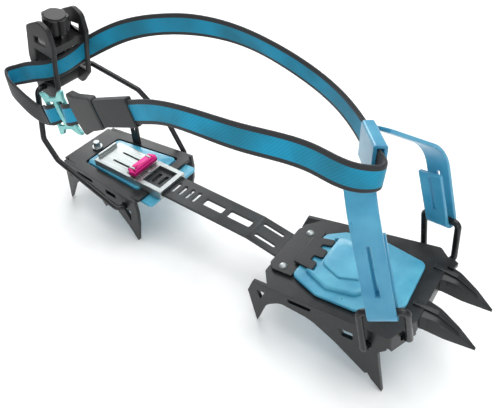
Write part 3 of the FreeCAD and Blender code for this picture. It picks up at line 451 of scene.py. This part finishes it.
def splineThrough(points, spacing):
    # natural cubic spline through the points by chord length: the second derivatives solve a
    # three-diagonal system, and each span is the usual blend of its two ends; returns places
    # evenly spaced along it, the length run to each, and the length run to each given point;
    # lengths are measured on the first three numbers of a point, over many short steps
    shortSteps = 12000
    spots = np.array(points, float)
    gaps = np.linalg.norm(np.diff(spots[:, :3], axis=0), axis=1)
    marks = np.concatenate([[0], np.cumsum(gaps)])
    size = len(spots)
    system = np.eye(size)
    inner = np.arange(1, size - 1)
    system[inner, inner - 1] = gaps[:-1]
    system[inner, inner] = 2 * (gaps[:-1] + gaps[1:])
    system[inner, inner + 1] = gaps[1:]
    slopes = np.diff(spots, axis=0) / gaps[:, None]
    right = np.zeros(spots.shape)
    right[1:-1] = 6 * np.diff(slopes, axis=0)
    bends = np.linalg.solve(system, right)

    def at(where):
        span = np.clip(np.searchsorted(marks, where, side="right") - 1, 0, size - 2)
        wide = gaps[span][:, None]
        left = (marks[span + 1] - where)[:, None] / wide
        ahead = 1 - left
        curve = (left ** 3 - left) * bends[span] + (ahead ** 3 - ahead) * bends[span + 1]
        return left * spots[span] + ahead * spots[span + 1] + curve * wide ** 2 / 6

    fine = np.linspace(0, marks[-1], shortSteps)
    steps = np.linalg.norm(np.diff(at(fine)[:, :3], axis=0), axis=1)
    run = np.concatenate([[0], np.cumsum(steps)])
    even = np.linspace(0, run[-1], int(run[-1] / spacing) + 1)
    return at(np.interp(even, run, fine)), even, np.interp(marks, fine, run)


def bandProfile(settings):
    # closed outline of the webbing: half-round selvedges joined by two faces that swell
    # slightly in the middle; x across, y through the thickness
    half, radius = settings["width"] / 2, settings["thick"] / 2
    turn = np.linspace(-math.pi / 2, math.pi / 2, settings["edgePoints"])
    span = np.linspace(-(half - radius), half - radius, settings["facePoints"])
    swell = settings["crown"] * radius * (1 - (span / half) ** 2)
    right = np.stack([half - radius + radius * np.cos(turn), radius * np.sin(turn)], 1)
    top = np.stack([span[::-1][1:-1], radius + swell[::-1][1:-1]], 1)
    left = -right
    low = np.stack([span[1:-1], -radius - swell[1:-1]], 1)
    return np.concatenate([right, top, left, low])


def buildStrap(name, line, ahead, run, settings, cyanSide):
    # the profile carried along the line: at each place the width stands upright, leaned
    # sideways by the line's fourth number, and the thickness lies square to it and to the path;
    # its weave attribute holds the place across and along in millimetres, and the cyan face as 1
    spots, lean = line[:, :3], np.radians(line[:, 3])[:, None]
    side = np.cross(ahead, [0, 0, 1.0])
    side /= np.linalg.norm(side, axis=1)[:, None]
    up = np.cross(side, ahead)
    across = up * np.cos(lean) + side * np.sin(lean)
    through = np.cross(ahead, across)
    profile = bandProfile(settings)
    grid = (spots[:, None] + across[:, None] * profile[None, :, :1]
            + through[:, None] * profile[None, :, 1:])
    rings, around = grid.shape[:2]
    first = np.arange(rings - 1)[:, None] * around + np.arange(around)[None, :]
    turn = np.roll(np.arange(around), -1)[None, :] + np.arange(rings - 1)[:, None] * around
    quads = np.stack([first, first + around, turn + around, turn], 2).reshape(-1, 4)
    caps = [list(range(around)), list(range((rings - 1) * around, rings * around))[::-1]]
    mesh = bpy.data.meshes.new(name)
    mesh.from_pydata(grid.reshape(-1, 3), [], quads.tolist() + caps)
    mesh.polygons.foreach_set("use_smooth", [True] * len(quads) + [False] * 2)
    facing = profile[None, :, 1] / (settings["thick"] / 2) * cyanSide[:, None]
    weave = np.stack([np.broadcast_to(profile[None, :, 0] / mm, (rings, around)),
                      np.broadcast_to(run[:, None] / mm, (rings, around)), facing], 2)
    attribute = mesh.attributes.new("weave", "FLOAT_VECTOR", "POINT")
    attribute.data.foreach_set("vector", weave.reshape(-1).astype(np.float32))
    mesh.materials.append(webbingCloth)
    mesh.update()
    ends = np.empty(len(mesh.edges) * 2, int)  # the rims of the two cut ends are shaded sharp
    mesh.edges.foreach_get("vertices", ends)
    ends = ends.reshape(-1, 2)
    rim = (ends.max(1) < around) | (ends.min(1) >= (rings - 1) * around)
    mesh.attributes.new("sharp_edge", "BOOLEAN", "EDGE").data.foreach_set("value", rim)
    piece = bpy.data.objects.new(name, mesh)
    bpy.context.scene.collection.objects.link(piece)
    return piece


# the strap's path in millimetres, the same places as the part's, and the width's lean in degrees
strapTop, leverX = 147.0, -184
fall = Vector((-76, 4, -32)).normalized()
outward = fall.cross(Vector((0, 0, 1))).normalized()
rearStart = Vector((-56.6, -37.1, strapTop - 8.8))
ringAt, weaveOut = 86, 2.7


def onRun(distance, out=0.0):
    # a place on the sloping near run, this far down it and pushed out past the ring's bars
    return (*(rearStart + fall * distance + outward * out), 0)


tailPath = [onRun(ringAt + 28.2, -weaveOut), onRun(ringAt + 32, -weaveOut), (-178, -34.9, 95.8, 0),
            (-190, -34.6, 101.6, 0), (-200, -31.8, 104.2, 0), (-204.5, -27, 105.3, 0),
            (-200, -22.2, 106.8, 0), (-188, -18.8, 111.2, 0), (leverX + 8, -13, 113.8, 0),
            (leverX + 11.6, 0, 115, 0), (leverX + 11.4, 13, 116.6, 0), (-162, 22, 124, 0),
            (-130, 30, 140, 8), (-100, 33.4, 149, 10)]
frontPath = [(-86, 34, strapTop + 5, 10), (-55, 36, strapTop + 7, 15), (-24, 35, strapTop + 4, 15),
             (4, 32, strapTop - 2, 10), (30, 20, strapTop - 5, 5), (50, 3, strapTop - 6, 0),
             (66, -19, strapTop - 1, 0), (71, -27, strapTop, 0), (66, -32, strapTop, 5),
             (40, -32, strapTop - 1, 12), (0, -34, strapTop - 4, 14), (-53.4, -37, strapTop - 8, 0)]
nearPath = [onRun(d) for d in range(4, 80, 8)]
nearPath += [onRun(ringAt - 2, -weaveOut), onRun(ringAt + 2.8, -weaveOut), onRun(ringAt + 6.3),
             onRun(ringAt + 9.8, weaveOut), onRun(ringAt + 14.8, weaveOut), onRun(ringAt + 18.3),
             onRun(ringAt + 21.8, -weaveOut), onRun(ringAt + 26, -weaveOut)]
path = tailPath + frontPath + nearPath
strapLine, strapRun, reached = splineThrough(
    [(*place(x, y, z), lean) for x, y, z, lean in path],
    webbing["step"])
strapAhead = np.gradient(strapLine[:, :3], axis=0)  # the path's direction at every place
strapAhead /= np.linalg.norm(strapAhead, axis=1)[:, None]
tailEnd = reached[len(tailPath)]
frontEnd = reached[len(tailPath) + len(frontPath) - 1]
# the band turns over inside the yoke: its cyan face is inside the loop before it, outside after
inYoke = len(tailPath) + 5
turnOver = (reached[inYoke] + reached[inYoke + 1]) / 2
cyanSide = np.where(strapRun < turnOver, 1.0, -1.0)

# lengths run at the tail path's places where the strap reaches the lever, is half way through it
# and leaves it
turnEnd, leverMiddle, leverEnd = reached[7], reached[9], reached[11]
# each stretch between two fittings: the lengths it runs between, its node, what it bears on,
# and the bodies that its first and second place follow, with those places in millimetres
strapParts = {
    "ankle_strap_turn": (0, turnEnd, "strap_tail", "strap_ring",
                         ("heel_unit", (-161, -34.5, 94.6)), ("rear_wire", (-186.6, -14, 103.4))),
    "ankle_strap_lever_near": (turnEnd, leverMiddle, "strap_tail", "heel_lever",
                               ("rear_wire", (-187, -18, 111)), ("lever", (-177, -13.5, 113))),
    "ankle_strap_lever_far": (leverMiddle, leverEnd, "strap_tail", "heel_lever",
                              ("lever", (-171, 14, 117)), ("rear_wire", (-163, 21, 123))),
    "ankle_strap_tail": (leverEnd, tailEnd, "strap_tail", "heel_lever",
                         ("rear_wire", (-158, 23, 126)), ("heel_unit", (-100, 33, 149))),
    "ankle_strap_front": (tailEnd, frontEnd, "strap_front", "harness_yoke",
                          ("toe_unit", (40, 0, 147)), ("heel_unit", (-55, 0, 147))),
    "ankle_strap_near": (frontEnd, strapRun[-1], "strap_rear_near", "strap_buckle",
                         ("heel_unit", None), None)}
for name, (low, high, node, support, firstEnd, secondEnd) in strapParts.items():
    first, last = np.searchsorted(strapRun, [low, high])
    last = min(last, len(strapRun) - 1)
    chosen = slice(first, last + 1)
    piece = buildStrap(name, strapLine[chosen], strapAhead[chosen], strapRun[chosen], webbing,
                       cyanSide[chosen])
    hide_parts(node)
    if secondEnd:
        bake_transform(piece)
    else:
        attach(piece, firstEnd[0])


def sleeveMaterial():
    # the strap's folded end, sewn down: the charcoal face of the same webbing, seen outside
    material, tree = newMaterial("charcoal_woven_fold")
    spot = objectPlace(tree)
    fibre = noise(tree, spot, 1.4 * mm, 4.0)
    rows = addNode(tree, "ShaderNodeTexWave",
                   {"bands_direction": "DIAGONAL", "Scale": waveUnit / mm, "Distortion": 0.8},
                   {"Vector": spot})
    tone = ramp(tree, fibre, [(0.3, "#2A2B2C"), (0.75, "#3A3B3C")])
    soft = addNode(tree, "ShaderNodeBevel", {"samples": 4, "Radius": 0.6 * mm}).outputs[0]
    finishMaterial(tree, {"Sheen Weight": 0.2, "Sheen Roughness": 0.4, "Specular IOR Level": 0.3},
                   tone, spread(tree, fibre, 0.65, 0.85),
                   bumped(tree, rows.outputs["Fac"], 0.3, 0.12 * mm, soft))
    return material


softenedCopy("strap_sleeve", sleeveMaterial(), softened)
print("strap built")
